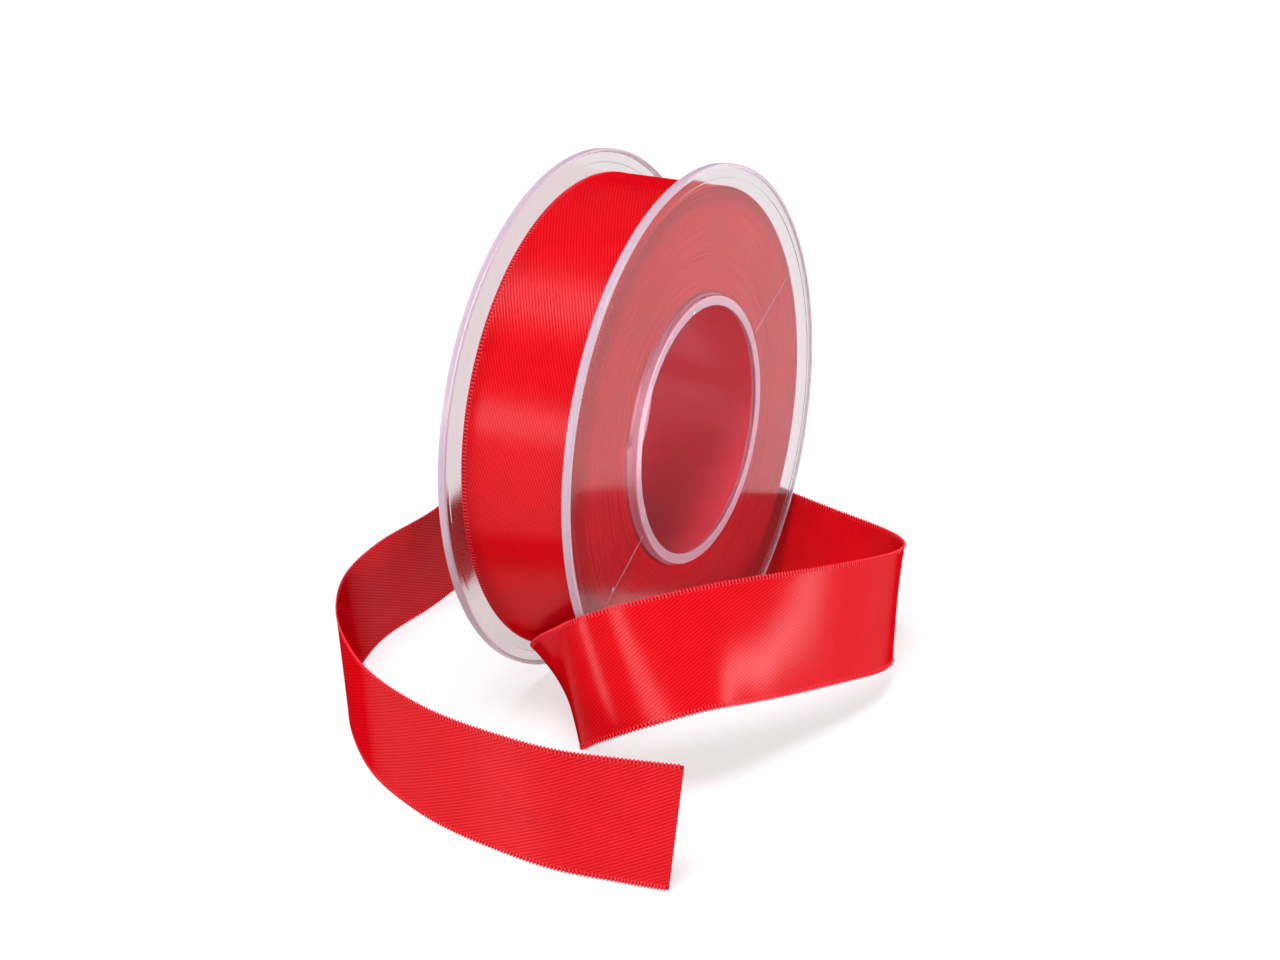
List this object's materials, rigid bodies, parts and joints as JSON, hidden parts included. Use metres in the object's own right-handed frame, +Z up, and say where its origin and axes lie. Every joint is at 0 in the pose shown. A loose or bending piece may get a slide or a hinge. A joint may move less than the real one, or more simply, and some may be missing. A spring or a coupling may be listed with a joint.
{
  "type": "ribbon spool",
  "caption": "Clear plastic spool of wound satin ribbon that stands on its flange rims, with a free tail lying round it.",
  "frame": {"origin": "centre of the hub's bore, half way between the two flanges", "axes": "+Y along the spool's axis towards the front flange, +Z up, +X the way the ribbon leaves the bottom of the roll"},
  "size_m": [0.1428, 0.1109, 0.11],
  "materials": {
    "clear_plastic": "glossy, clear with a slight haze",
    "paper_tape": "matt adhesive tape",
    "satin": "double-faced satin weave"
  },
  "bodies": {
    "free_ribbon": {"ribbon_tail": "satin"},
    "spool": {"front_flange": "clear_plastic", "rear_flange": "clear_plastic", "hub_tube": "clear_plastic", "starter_tape": "paper_tape", "ribbon_roll": "satin"}
  },
  "joints": [
    {"name": "unwind_spin", "type": "hinge", "parent": "free_ribbon", "child": "spool", "pos_m": [0, 0, 0], "axis": [0, -1, 0], "continuous": true}
  ]
}
